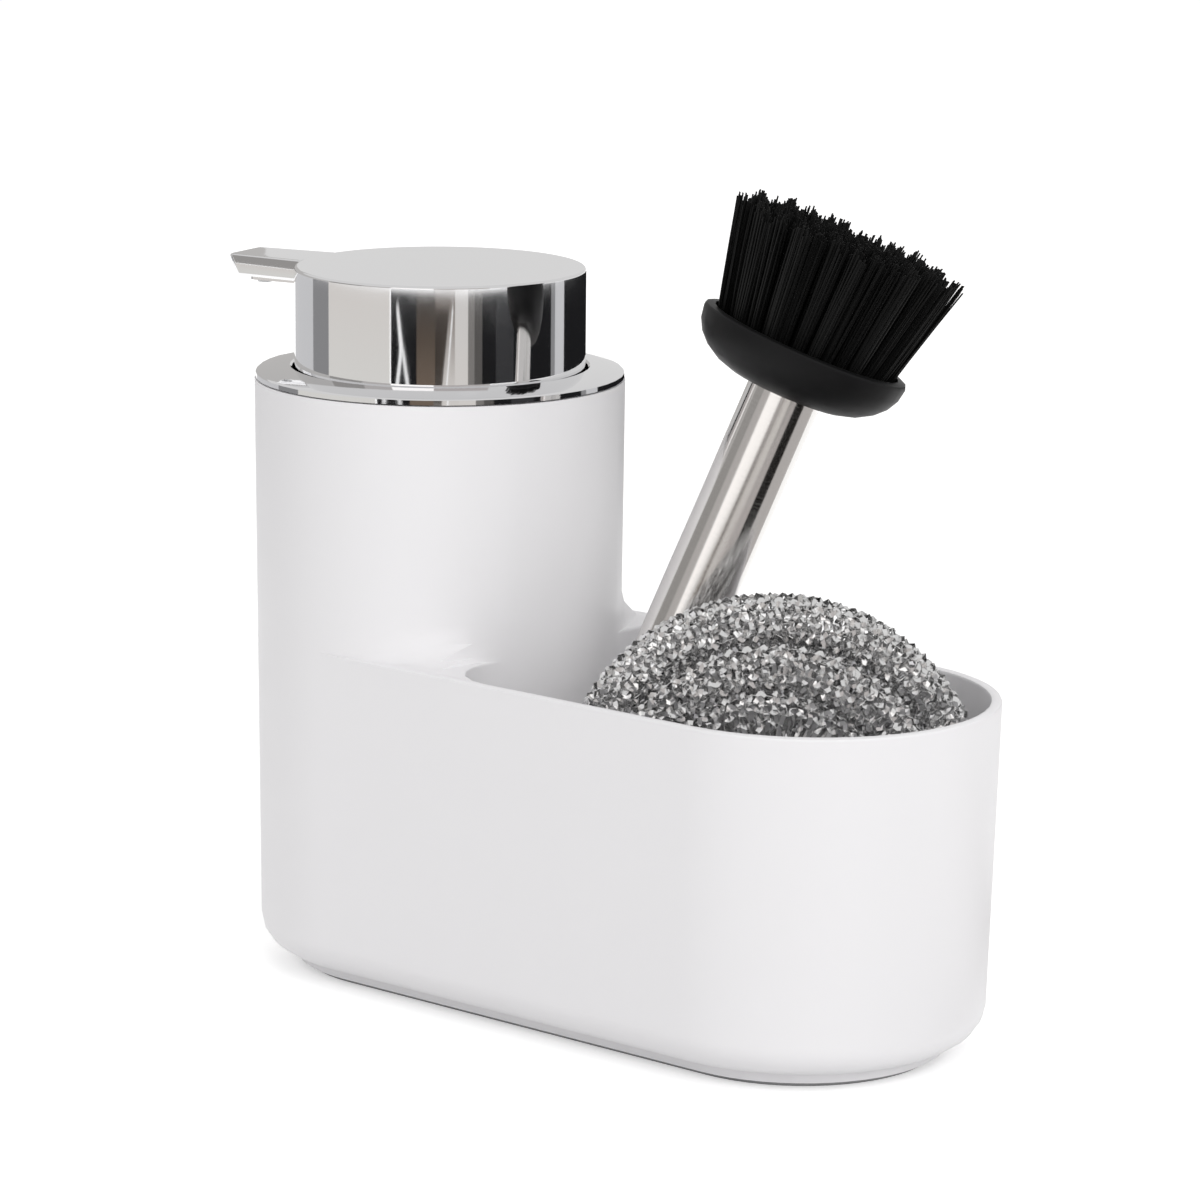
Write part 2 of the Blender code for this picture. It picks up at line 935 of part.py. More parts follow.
def make_head(chrome):
    inner = head_radius - head_wall
    rounding = arc(
        (head_radius - head_round, head_top - head_round), head_round, math.pi / 2, 0, 3
    )
    points = [(0, head_top), *rounding]
    points += [(head_radius, head_bottom), (inner, head_bottom), (inner, head_under), (0, head_under)]
    head = turned("pump_head", points, chrome, head_steps, closed=False)
    tongue = cutter("spout_tongue", mesh_from(build_tongue, "spout_tongue"))
    tongue.matrix_world = spout_frame()
    bevel(tongue, spout_round, 2)
    combine(head, tongue, "UNION")
    keel = cutter("spout_keel", mesh_from(build_keel, "spout_keel"))
    keel.matrix_world = spout_frame()
    combine(head, keel, "UNION")
    half = spout_duct_width / 2
    low = (inner - overrun, -half, duct_middle - spout_duct_height / 2)
    high = (spout_reach - spout_end_wall, half, duct_middle + spout_duct_height / 2)
    duct = cutter("spout_duct", box_mesh("spout_duct", low, high))
    duct.matrix_world = spout_frame()
    combine(head, duct, "DIFFERENCE")
    hole = nozzle_radius + seat_gap
    bottom = keel_under - overrun
    outlet = turned_cutter(
        "spout_outlet", [(0, duct_middle), (hole, duct_middle), (hole, bottom), (0, bottom)], tube_steps
    )
    outlet.matrix_world = outlet_place()
    combine(head, outlet, "DIFFERENCE")


def make_head_insert(plastic):
    top = head_under - seat_gap
    bore = stem_radius + seat_gap
    ledge = stem_top + seat_gap
    hub = [
        (0, top),
        (socket_radius, top),
        (socket_radius, socket_bottom),
        (bore, socket_bottom),
        (bore, ledge),
        (0, ledge),
    ]
    insert = turned("head_insert", hub, plastic, pump_steps, closed=False)
    reach = head_radius - head_wall - seat_gap
    half_arm = spout_duct_width / 2 - seat_gap
    half_height = spout_duct_height / 2 - seat_gap
    root = socket_radius / 2
    tip = spout_reach - spout_end_wall - seat_gap
    arm = cutter(
        "insert_arm",
        box_mesh(
            "insert_arm",
            (root, -half_arm, duct_middle - half_height),
            (tip, half_arm, duct_middle + half_height),
        ),
    )
    arm.matrix_world = spout_frame()
    combine(insert, arm, "UNION")
    half_rib = rib_thickness / 2
    for i in range(rib_count):
        name = f"insert_rib_{i + 1}"
        rib = cutter(name, box_mesh(name, (root, -half_rib, top - rib_height), (reach, half_rib, top - seat_gap)))
        rib.matrix_world = spout_frame() @ Matrix.Rotation(math.tau * (i + 0.5) / rib_count, 4, "Z")
        combine(insert, rib, "UNION")
    low = (0, -duct_radius, duct_middle - duct_radius)
    high = (spout_reach - outlet_inset + duct_radius, duct_radius, duct_middle + duct_radius)
    channel = cutter("insert_channel", box_mesh("insert_channel", low, high))
    channel.matrix_world = spout_frame()
    combine(insert, channel, "DIFFERENCE")
    riser = turned_cutter(
        "insert_riser",
        [(0, duct_middle), (stem_bore, duct_middle), (stem_bore, ledge - overrun), (0, ledge - overrun)],
        tube_steps,
    )
    combine(insert, riser, "DIFFERENCE")
    drop = turned_cutter(
        "insert_drop",
        [
            (0, duct_middle),
            (duct_radius, duct_middle),
            (duct_radius, duct_middle - spout_duct_height),
            (0, duct_middle - spout_duct_height),
        ],
        tube_steps,
    )
    drop.matrix_world = outlet_place()
    combine(insert, drop, "DIFFERENCE")


def make_nozzle(plastic):
    top = duct_middle - spout_duct_height / 2
    bottom = keel_under - nozzle_proud
    points = [
        (nozzle_radius, top),
        (nozzle_radius, bottom),
        (nozzle_bore, bottom),
        (nozzle_bore, top),
    ]
    nozzle = turned("nozzle_tip", points, plastic, tube_steps)
    nozzle.matrix_world = outlet_place()


# The dish brush


def brush_frame():
    """Its origin is the centre of the handle's round foot, and +Z runs up the handle."""
    lean = Vector((brush_lean_x_share, brush_lean_y_share, 1)).normalized()
    foot = Vector((brush_foot_x, brush_foot_y, floor_level + seat_gap + handle_radius))
    return Matrix.Translation(foot) @ lean.to_track_quat("Z", "Y").to_matrix().to_4x4()


def make_handle(steel, black, axis):
    start = cap_shoulder + seat_gap
    end = start + handle_length
    inner = handle_radius - handle_wall
    tube = [(handle_radius, end), (handle_radius, start), (inner, start), (inner, end)]
    turned("brush_handle", tube, steel, brush_steps, parent=axis)
    plug = inner - seat_gap
    dome = arc((0, 0), handle_radius, 0, -math.pi / 2, bowl_steps)
    cap = [(0, start + cap_plug), (plug, start + cap_plug), (plug, cap_shoulder), (handle_radius, cap_shoulder)]
    turned("handle_end_cap", cap + dome, black, brush_steps, closed=False, parent=axis)
    floor = cup_floor()
    points = [
        (0, floor - seat_gap),
        (stud_radius, floor - seat_gap),
        (stud_radius, end),
        (plug, end),
        (plug, end - socket_plug),
        (0, end - socket_plug),
    ]
    turned("brush_socket", points, black, brush_steps, closed=False, parent=axis)


def cup_bottom():
    return cap_shoulder + 2 * seat_gap + handle_length


def cup_rim():
    return cup_bottom() + cup_height


def cup_floor():
    return cup_rim() - cup_pocket


def make_cup(black, axis):
    bottom = cup_bottom()
    rim = cup_rim()
    inner = cup_radius - cup_lip
    bore = stud_radius + seat_gap
    lip = arc((cup_radius - cup_lip_round, rim - cup_lip_round), cup_lip_round, math.pi / 2, 0, 2)
    rise = cup_height - cup_lip_round
    spread = cup_radius - cup_boss
    bowl = []
    for i in range(1, bowl_steps + 1):
        angle = math.pi / 2 * i / bowl_steps
        bowl.append((cup_boss + spread * math.cos(angle), bottom + rise - rise * math.sin(angle)))
    points = [(inner, rim), *lip, *bowl, (bore, bottom), (bore, cup_floor()), (inner, cup_floor())]
    turned("brush_cup", points, black, brush_steps, parent=axis)


def disc_place(across, along, radius):
    """A point of the square from -1 to 1, moved to a round disc so that a grid stays even."""
    x = across * math.sqrt(1 - along**2 / 2)
    y = along * math.sqrt(1 - across**2 / 2)
    return radius * x, radius * y


def build_bristles(built, quarter):
    """A quarter of the backing, with one three-sided strand on each triangle of its grid."""
    radius = cup_radius - cup_lip - seat_gap
    top = cup_floor() + seat_gap + backing_thickness
    sign_x = 1 if quarter in (0, 3) else -1
    sign_y = 1 if quarter in (0, 1) else -1
    grid = []
    for i in range(bristle_columns + 1):
        row = []
        for j in range(bristle_rows + 1):
            x, y = disc_place(i / bristle_columns, j / bristle_rows, radius - seat_gap)
            point = (sign_x * (x + seat_gap / 2), sign_y * (y + seat_gap / 2), top)
            row.append(built.verts.new(point))
        grid.append(row)
    for i in range(bristle_columns):
        for j in range(bristle_rows):
            corners = (grid[i][j], grid[i + 1][j], grid[i + 1][j + 1], grid[i][j + 1])
            face = built.faces.new(corners if sign_x * sign_y > 0 else corners[::-1])
            face.normal_update()
    rim = [edge for edge in built.edges if edge.is_boundary]
    sides = bmesh.ops.extrude_edge_only(built, edges=rim)
    dropped = [item for item in sides["geom"] if isinstance(item, bmesh.types.BMVert)]
    for corner in dropped:
        corner.co.z -= backing_thickness
    under = [edge for edge in built.edges if edge.is_boundary]
    bmesh.ops.holes_fill(built, edges=under, sides=0)
    cells = [face for face in built.faces if all(v.co.z > top - overrun / 4 for v in face.verts)]
    cells = bmesh.ops.triangulate(built, faces=cells)["faces"]
    for face in cells:
        face.normal_update()
    bmesh.ops.inset_individual(built, faces=cells, thickness=bristle_gap, use_even_offset=True)
    grown = bmesh.ops.extrude_discrete_faces(built, faces=cells)["faces"]
    chance = random.Random(quarter)
    spread = bristle_top_radius / bristle_base_radius
    for face in grown:
        foot = face.calc_center_median()
        length = bristle_length - backing_thickness / 2 + bristle_ragged * chance.uniform(-1, 1)
        head = Vector((foot.x * spread, foot.y * spread, foot.z + length))
        for corner in face.verts:
            corner.co = head + (corner.co - foot) * bristle_taper_share


def make_bristles(black, axis):
    for quarter in range(4):
        name = f"bristles_{quarter + 1}"
        mesh = mesh_from(lambda built, q=quarter: build_bristles(built, q), name)
        made = place(name, mesh, black, parent=axis)
        made.data.shade_flat()


def make_brush(steel, black, bristle):
    axis = guide_empty("brush_axis", brush_frame())
    make_handle(steel, black, axis)
    make_cup(black, axis)
    make_bristles(bristle, axis)


# The scourer


def winding_radius(turns):
    """How far the ribbon's middle is from the centre after so many turns.

    The later turns step out early in the turn, which keeps the outer one round.
    """
    whole = min(math.floor(turns), scourer_turns - 1)
    part = turns - whole
    rise = min(1, part / scourer_step_share)
    early = rise * rise * (3 - 2 * rise) - part
    share = (turns / scourer_turns) ** 2
    return scourer_core + scourer_pitch * (turns + share * early)


def winding_thickness(reach):
    """Half the bun's thickness at a distance from its centre."""
    share = reach / scourer_radius
    return scourer_half_thickness * math.sqrt(1 - share**scourer_fullness_share)


def winding_section(turns, wall):
    """The wound ribbon's rounded section after so many turns, drawn in by a wall's thickness."""
    reach = winding_radius(turns)
    angle = scourer_start + math.tau * turns
    width = (scourer_pitch - scourer_turn_gap) / 2 - wall
    height = winding_thickness(reach) - wall
    points = []
    for i in range(scourer_sides):
        turned_by = math.tau * (i + 0.5) / scourer_sides
        across, along = math.cos(turned_by), math.sin(turned_by)
        across = math.copysign(abs(across) ** scourer_square_share, across)
        along = math.copysign(abs(along) ** scourer_square_share, along)
        out = reach + width * across
        points.append((out * math.cos(angle), out * math.sin(angle), height * along))
    return points


def build_scourer(built):
    """One unbroken hollow ribbon tube, wound flat from the middle out and open at both ends."""
    count = scourer_turns * scourer_points_per_turn
    outer = [winding_section(i / scourer_points_per_turn, 0) for i in range(count + 1)]
    inner = [winding_section(i / scourer_points_per_turn, scourer_wall) for i in range(count + 1)]
    outside = loft(built, outer, cap_ends=False)
    inside = loft(built, inner, cap_ends=False)
    ring_faces(built, outside[0], inside[0])
    ring_faces(built, outside[-1], inside[-1])
    gaps = []
    for i, section in enumerate(outer):
        for other in outer[i + scourer_points_per_turn // 2 :]:
            near = min((Vector(a) - Vector(b)).length for a in section for b in other)
            gaps.append(near)
    print(f"scourer: least gap to itself {1000 * min(gaps):.2f} mm")


def make_scourer(metal):
    bun = place("scourer", mesh_from(build_scourer, "scourer"), metal)
    height = floor_level + seat_gap + scourer_radius
    facing = Vector((math.cos(scourer_turn), math.sin(scourer_turn), 0))
    middle = Matrix.Translation((scourer_x, scourer_y, height))
    bun.matrix_world = middle @ facing.to_track_quat("Z", "Y").to_matrix().to_4x4()


def main():
    white = material("white_plastic", (0.86, 0.86, 0.87), 0.42)
    grey = material("grey_pad", (0.42, 0.42, 0.43), 0.80)
    chrome = material("chrome", (0.82, 0.82, 0.83), 0.06, 1.0)
    natural = material("natural_plastic", (0.80, 0.81, 0.82), 0.45)
    clear = material("pump_plastic", (0.74, 0.77, 0.79), 0.35)
    rubber = material("seal_rubber", (0.55, 0.56, 0.57), 0.70)
    steel = material("steel", (0.62, 0.61, 0.60), 0.25, 1.0)
    black = material("black_plastic", (0.015, 0.015, 0.016), 0.40)
    bristle = material("black_bristle", (0.010, 0.010, 0.010), 0.55)
    ribbon = material("steel_ribbon", (0.60, 0.60, 0.61), 0.30, 1.0)
    make_caddy(white, grey)
    make_lid_unit(chrome, natural, rubber, clear, steel)
    make_plunger(natural, rubber, steel)
    make_head(chrome)
    make_head_insert(natural)
    make_nozzle(natural)
    make_brush(steel, black, bristle)
    make_scourer(ribbon)


main()
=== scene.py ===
"""Looks for the sink-side soap dispenser: camera, light, materials, spring, bristles and scourer.

Metres, +Z up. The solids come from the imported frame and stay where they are.
"""

import json
import math
import random

import bmesh
import bpy
from mathutils import Matrix, Vector


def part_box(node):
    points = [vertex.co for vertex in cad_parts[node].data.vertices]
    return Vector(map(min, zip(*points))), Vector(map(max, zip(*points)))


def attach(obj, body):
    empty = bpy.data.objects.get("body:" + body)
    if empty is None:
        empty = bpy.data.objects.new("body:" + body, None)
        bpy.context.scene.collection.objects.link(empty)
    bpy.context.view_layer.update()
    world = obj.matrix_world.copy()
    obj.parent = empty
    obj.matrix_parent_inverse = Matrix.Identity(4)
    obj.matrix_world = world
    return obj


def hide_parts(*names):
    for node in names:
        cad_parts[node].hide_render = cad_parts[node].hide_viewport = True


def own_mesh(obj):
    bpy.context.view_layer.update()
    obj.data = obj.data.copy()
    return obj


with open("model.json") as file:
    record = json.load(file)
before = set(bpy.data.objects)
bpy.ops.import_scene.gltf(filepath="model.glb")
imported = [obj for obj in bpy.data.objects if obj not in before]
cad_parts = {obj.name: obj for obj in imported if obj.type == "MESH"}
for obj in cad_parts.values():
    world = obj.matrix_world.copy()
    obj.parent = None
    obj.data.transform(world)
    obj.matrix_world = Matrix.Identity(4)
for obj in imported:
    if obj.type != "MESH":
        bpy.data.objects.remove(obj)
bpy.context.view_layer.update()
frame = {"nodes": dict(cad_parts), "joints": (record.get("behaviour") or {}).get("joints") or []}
nodes = frame["nodes"]

# Camera, fitted to the photograph's outlines
camera_azimuth = math.radians(40.238)
camera_elevation = math.radians(11.945)
camera_roll = math.radians(0.481)
camera_distance = 1.02983
camera_target = Vector((0.04513, 0, 0.08621))
camera_lens_mm = 145.83
camera_sensor_mm = 36
camera_shift_x = 0.00177
camera_shift_y = 0.00136

# Floor and world. Strength 1 shows as white.
floor_size = 6.0
floor_colour = (0.82, 0.82, 0.82)
floor_roughness = 0.9
floor_seen = 0.42
world_colour = (1.0, 0.995, 0.99)
world_level = 0.71

# Cards round the object, strips just in front of them, and flags on the floor
cards_radius = 0.55
low_cards = (0.002, 0.080)
high_cards = (0.083, 0.36)
strips_ahead = 0.005
head_sees = (0.043, 0.0755)
strips_fork = 0.060
flags_level = 0.001
flags_inner = 0.15
flags_outer = 0.54
card_step = 5

# Lamps: name, place, width, watts, and whether metal mirrors it
lamps_aim = (0.05, 0, 0.07)
lamps = [
    ("key", (1.39, -0.64, 1.0), 1.4, 10.2, False),
    ("sparkle", (1.39, -0.64, 1.0), 0.45, 1.4, True),
    ("fill", (-0.9, -1.3, 1.1), 1.2, 0.8, False),
    ("back", (-1.1, 0.9, 1.1), 1.0, 4, False),
]

# Smooth shading of the solids
weld_distance = 0.000002
corner_angle = math.radians(33)

# Grain of the materials: how fine it is, how strongly it shows and how deep it is
noise_reach = (0.3, 0.7)
moulded_patches = 55
moulded_grain = 1400
moulded_strength = 0.25
moulded_depth = 0.00003
wiped_patches = 90
satin_grain = 900
satin_strength = 0.12
satin_depth = 0.00002
turned_rings = 2200
turned_draw_share = 0.6

# Which finish each CAD solid has
solid_finishes = {
    "caddy_body": "white",
    "anti_slip_pad": "pad",
    "lid_plate": "chrome",
    "pump_carrier": "natural",
    "lid_seal": "rubber",
    "neck_gasket": "rubber",
    "pump_collar": "natural",
    "pump_cylinder": "clear",
    "cylinder_plug": "natural",
    "dip_tube": "clear",
    "inlet_ball": "steel",
    "piston_stem": "natural",
    "piston": "rubber",
    "outlet_ball": "steel",
    "pump_head": "chrome",
    "head_insert": "natural",
    "nozzle_tip": "natural",
    "brush_handle": "tube",
    "handle_end_cap": "black",
    "brush_socket": "black",
    "brush_cup": "black",
}

# Bristles, in tufts that stand on a backing in the cup's pocket
bristle_seed = 7
cup_pocket = 0.0042
cup_lip = 0.0021
backing_gap = 0.0010
backing_thickness = 0.0016
backing_rise = 0.0009
backing_sides = 64
tuft_pitch = 0.00345
tuft_radius = 0.00140
tuft_foot_share = 0.8
tuft_strands = 30
tuft_drift = 0.0004
tuft_height_jitter = 0.0007
tuft_point = 0.0018
tuft_flare_share = 1.35
bristle_height = 0.0278
bristle_spread_share = 1.34
strand_radius = 0.00024
strand_taper_share = 0.25
strand_levels = 3
strand_sides = 4
strand_bend = 0.00025
strand_height_jitter = 0.0009
stray_share = 0.02
stray_reach = 0.0016

# Return spring
spring_turns = 6
spring_wire = 0.00045
spring_steps = 24
spring_sides = 8

# Scourer: a bun of curled flat ribbon, wound as the solid is
ribbon_seed = 11
bun_centre = Vector((0.0962, -0.0044, 0.0509))
bun_turn = math.radians(-50.5)
bun_radius = 0.0446
bun_half_thickness = 0.0135
bun_fullness_power = 2.6
bun_turns = 4
bun_start = math.radians(-80)
bun_even_turns = 1.5
bun_step_share = 0.3
ring_core = 0.0045
ring_pitch = 0.0090
ring_half_width = 0.0041
coil_half_depth = 0.0042
coil_square_power = 0.95
coil_jitter = 0.00055
coil_spacing = 0.00165
coil_upper_steps = 22
coil_lower_steps = 5
ribbon_width = 0.00105
ribbon_thickness = 0.00013
ribbon_corner = math.radians(40)
wave_reach = 0.00045
wave_count = 3
twist_share = 0.9
twist_jitter_share = 0.6
lane_count = 6
lane_step = 0.00048
lane_wave = 0.0029
lane_swing = 0.00065
lane_depth_share = 0.4
lane_drift_share = 0.35
lane_pace_share = 0.4


def joint_named(name):
    return next(joint for joint in frame["joints"] if joint["name"] == name)


def brush_axis():
    return Vector(joint_named("brush_lift")["axis"]).normalized()


def add_to_scene(made):
    bpy.context.scene.collection.objects.link(made)
    return made


# Materials


def new_material(name):
    made = bpy.data.materials.new(name)
    made.use_nodes = True
    return made, made.node_tree.nodes, made.node_tree.links


def principled(name, colour, roughness, metallic=0.0):
    made, tree, links = new_material(name)
    shader = tree["Principled BSDF"]
    shader.inputs["Base Color"].default_value = (*colour, 1)
    shader.inputs["Roughness"].default_value = roughness
    shader.inputs["Metallic"].default_value = metallic
    return made, tree, links, shader


def add_noise(tree, links, scale, detail):
    """Noise on the object's own coordinates."""
    where = tree.new("ShaderNodeTexCoord")
    noise = tree.new("ShaderNodeTexNoise")
    noise.inputs["Scale"].default_value = scale
    noise.inputs["Detail"].default_value = detail
    links.new(where.outputs["Object"], noise.inputs["Vector"])
    return noise


def add_range(tree, links, source, low, high):
    """A number between low and high that follows a noise."""
    spread = tree.new("ShaderNodeMapRange")
    spread.inputs["From Min"].default_value = noise_reach[0]
    spread.inputs["From Max"].default_value = noise_reach[1]
    spread.inputs["To Min"].default_value = low
    spread.inputs["To Max"].default_value = high
    links.new(source.outputs["Fac"], spread.inputs["Value"])
    return spread


def add_bump(tree, links, source, shader, strength, distance):
    bump = tree.new("ShaderNodeBump")
    bump.inputs["Strength"].default_value = strength
    bump.inputs["Distance"].default_value = distance
    links.new(source.outputs["Fac"], bump.inputs["Height"])
    links.new(bump.outputs["Normal"], shader.inputs["Normal"])


def moulded(name, colour, low, high, grain=moulded_grain, specular=0.5):
    """Moulded plastic or rubber: a fine grain and a gloss that varies a little."""
    made, tree, links, shader = principled(name, colour, (low + high) / 2)
    shader.inputs["Specular IOR Level"].default_value = specular
    broad = add_noise(tree, links, moulded_patches, detail=2)
    gloss = add_range(tree, links, broad, low, high)
    links.new(gloss.outputs["Result"], shader.inputs["Roughness"])
    fine = add_noise(tree, links, grain, detail=3)
    add_bump(tree, links, fine, shader, moulded_strength, moulded_depth)
    return made


def polished(name, colour, low, high):
    """Polished metal with faint wiping marks in its gloss."""
    made, tree, links, shader = principled(name, colour, low, 1.0)
    broad = add_noise(tree, links, wiped_patches, detail=4)
    gloss = add_range(tree, links, broad, low, high)
    links.new(gloss.outputs["Result"], shader.inputs["Roughness"])
    return made


def satin_metal(name, colour, low, high):
    """Satin metal with a fine, even grain."""
    made, tree, links, shader = principled(name, colour, low, 1.0)
    scratches = add_noise(tree, links, satin_grain, detail=3)
    gloss = add_range(tree, links, scratches, low, high)
    links.new(gloss.outputs["Result"], shader.inputs["Roughness"])
    add_bump(tree, links, scratches, shader, satin_strength, satin_depth)
    return made


def turned_metal(name, colour, low, high, axis):
    """A tube polished round its axis: fine rings, and highlights that are drawn out along it."""
    made, tree, links, shader = principled(name, colour, (low + high) / 2, 1.0)
    shader.inputs["Anisotropic"].default_value = turned_draw_share
    direction = tree.new("ShaderNodeCombineXYZ")
    for socket, value in zip(direction.inputs, axis):
        socket.default_value = value
    links.new(direction.outputs["Vector"], shader.inputs["Tangent"])
    where = tree.new("ShaderNodeTexCoord")
    along = tree.new("ShaderNodeVectorMath")
    along.operation = "DOT_PRODUCT"
    along.inputs[1].default_value = axis
    links.new(where.outputs["Object"], along.inputs[0])
    rings = tree.new("ShaderNodeTexNoise")
    rings.noise_dimensions = "1D"
    rings.inputs["Scale"].default_value = turned_rings
    links.new(along.outputs["Value"], rings.inputs["W"])
    gloss = add_range(tree, links, rings, low, high)
    links.new(gloss.outputs["Result"], shader.inputs["Roughness"])
    return made


def make_finishes():
    """Each finish with its colour, and the least and greatest roughness it varies between."""
    steel_colour = (0.78, 0.765, 0.75)
    black_colour = (0.007, 0.007, 0.0075)
    return {
        "white": moulded("satin_white", (0.862, 0.854, 0.870), 0.36, 0.44),
        "pad": moulded("grey_rubber", (0.40, 0.40, 0.41), 0.75, 0.85),
        "chrome": polished("polished_chrome", (0.86, 0.86, 0.87), 0.035, 0.06),
        "natural": moulded("natural_plastic", (0.80, 0.81, 0.82), 0.40, 0.50),
        "clear": moulded("pump_plastic", (0.74, 0.77, 0.79), 0.30, 0.38),
        "rubber": moulded("seal_rubber", (0.55, 0.56, 0.57), 0.65, 0.75),
        "steel": satin_metal("bright_steel", steel_colour, 0.12, 0.24),
        "tube": turned_metal("handle_steel", steel_colour, 0.13, 0.18, brush_axis()),
        "black": moulded("black_plastic", black_colour, 0.40, 0.52, grain=900, specular=0.16),
        "bristle": moulded("bristle_black", (0.005, 0.005, 0.005), 0.55, 0.70, specular=0.25),
        "ribbon": polished("ribbon_steel", (0.86, 0.86, 0.86), 0.15, 0.25),
    }


# Smooth shading on the CAD solids, whose corners stay sharp


def smooth_group():
    """Welds the faceted solid, smooths it and keeps its sharp edges."""
    group = bpy.data.node_groups.new("smooth_solid", "GeometryNodeTree")
    group.interface.new_socket("Geometry", in_out="INPUT", socket_type="NodeSocketGeometry")
    group.interface.new_socket("Geometry", in_out="OUTPUT", socket_type="NodeSocketGeometry")
    tree, links = group.nodes, group.links
    start = tree.new("NodeGroupInput")
    end = tree.new("NodeGroupOutput")
    weld = tree.new("GeometryNodeMergeByDistance")
    weld.inputs["Distance"].default_value = weld_distance
    faces = tree.new("GeometryNodeSetShadeSmooth")
    faces.domain = "FACE"
    edges = tree.new("GeometryNodeSetShadeSmooth")
    edges.domain = "EDGE"
    edges.inputs["Shade Smooth"].default_value = False
    angle = tree.new("GeometryNodeInputMeshEdgeAngle")
    sharp = tree.new("FunctionNodeCompare")
    sharp.data_type = "FLOAT"
    sharp.operation = "GREATER_THAN"
    sharp.inputs["B"].default_value = corner_angle
    links.new(start.outputs[0], weld.inputs["Geometry"])
    links.new(weld.outputs["Geometry"], faces.inputs["Geometry"])
    links.new(faces.outputs["Geometry"], edges.inputs["Geometry"])
    links.new(angle.outputs["Unsigned Angle"], sharp.inputs["A"])
    links.new(sharp.outputs["Result"], edges.inputs["Selection"])
    links.new(edges.outputs["Geometry"], end.inputs[0])
    return group


def dress_solids(finishes):
    group = smooth_group()
    for name, finish_name in solid_finishes.items():
        solid = nodes[name]
        solid.data.materials.clear()
        solid.data.materials.append(finishes[finish_name])
        smooth = solid.modifiers.new("smooth", "NODES")
        smooth.node_group = group
        even = solid.modifiers.new("even", "WEIGHTED_NORMAL")
        even.keep_sharp = True
        even.mode = "FACE_AREA_WITH_ANGLE"


# Camera and stage


def make_camera():
    data = bpy.data.cameras.new("camera")
    data.lens = camera_lens_mm
    data.sensor_width = camera_sensor_mm
    data.shift_x = camera_shift_x
    data.shift_y = camera_shift_y
    data.clip_start = camera_distance / 100
    data.clip_end = camera_distance * 100
    camera = add_to_scene(bpy.data.objects.new("camera", data))
    flat = math.cos(camera_elevation)
    back = Vector((
        math.sin(camera_azimuth) * flat,
        -math.cos(camera_azimuth) * flat,
        math.sin(camera_elevation),
    ))
    level = Vector((math.cos(camera_azimuth), math.sin(camera_azimuth), 0))
    upward = back.cross(level)
    right = level * math.cos(camera_roll) + upward * math.sin(camera_roll)
    up = back.cross(right)
    turned = Matrix((right, up, back)).transposed().to_4x4()
    camera.matrix_world = Matrix.Translation(camera_target + back * camera_distance) @ turned
    bpy.context.scene.camera = camera


def show_bright(name, colour, seen_strength):
    """A pale surface that the camera and metal see as bright, and that still takes shadows."""
    made, tree, links, shader = principled(name, colour, floor_roughness)
    shader.inputs["Specular IOR Level"].default_value = 0.0
    glow = tree.new("ShaderNodeEmission")
    glow.inputs["Color"].default_value = (1, 1, 1, 1)
    rays = tree.new("ShaderNodeLightPath")
    seen = tree.new("ShaderNodeMath")
    seen.operation = "MAXIMUM"
    links.new(rays.outputs["Is Camera Ray"], seen.inputs[0])
    links.new(rays.outputs["Is Glossy Ray"], seen.inputs[1])
    strength = tree.new("ShaderNodeMath")
    strength.operation = "MULTIPLY"
    strength.inputs[1].default_value = seen_strength
    links.new(seen.outputs[0], strength.inputs[0])
    links.new(strength.outputs[0], glow.inputs["Strength"])
    both = tree.new("ShaderNodeAddShader")
    links.new(shader.outputs[0], both.inputs[0])
    links.new(glow.outputs[0], both.inputs[1])
    links.new(both.outputs[0], tree["Material Output"].inputs["Surface"])
    return made


def add_stage_mesh(name, corners, faces, finish):
    mesh = bpy.data.meshes.new(name)
    mesh.from_pydata(corners, [], faces)
    mesh.materials.append(finish)
    made = add_to_scene(bpy.data.objects.new(name, mesh))
    return made


def make_floor():
    half = floor_size / 2
    corners = [(-half, -half, 0), (half, -half, 0), (half, half, 0), (-half, half, 0)]
    finish = show_bright("pale_floor", floor_colour, floor_seen)
    add_stage_mesh("floor", corners, [(0, 1, 2, 3)], finish)


def make_world():
    world = bpy.data.worlds.new("studio")
    world.use_nodes = True
    bpy.context.scene.world = world
    tree, links = world.node_tree.nodes, world.node_tree.links
    sky = tree["Background"]
    sky.inputs["Color"].default_value = (*world_colour, 1)
    rays = tree.new("ShaderNodeLightPath")
    level = tree.new("ShaderNodeMapRange")
    level.inputs["To Min"].default_value = world_level
    level.inputs["To Max"].default_value = 1.0
    links.new(rays.outputs["Is Camera Ray"], level.inputs["Value"])
    links.new(level.outputs["Result"], sky.inputs["Strength"])


def add_glow(name, level, lower=None, heights=(0, 1)):
    """Light that has one colour, or that passes from a lower one to an upper one."""
    made, tree, links = new_material(name)
    tree.remove(tree["Principled BSDF"])
    glow = tree.new("ShaderNodeEmission")
    glow.inputs["Color"].default_value = (*level, 1)
    links.new(glow.outputs[0], tree["Material Output"].inputs["Surface"])
    if lower is not None:
        where = tree.new("ShaderNodeTexCoord")
        axes = tree.new("ShaderNodeSeparateXYZ")
        rise = tree.new("ShaderNodeMapRange")
        rise.inputs["From Min"].default_value = heights[0]
        rise.inputs["From Max"].default_value = heights[1]
        blend = tree.new("ShaderNodeMix")
        blend.data_type = "RGBA"
        blend.inputs["A"].default_value = (*lower, 1)
        blend.inputs["B"].default_value = (*level, 1)
        links.new(where.outputs["Object"], axes.inputs["Vector"])
        links.new(axes.outputs["Z"], rise.inputs["Value"])
        links.new(rise.outputs["Result"], blend.inputs["Factor"])
        links.new(blend.outputs["Result"], glow.inputs["Color"])
    return made


def show_to_metal_only(piece):
    piece.visible_camera = False
    piece.visible_diffuse = False
    piece.visible_shadow = False
    piece.visible_transmission = False


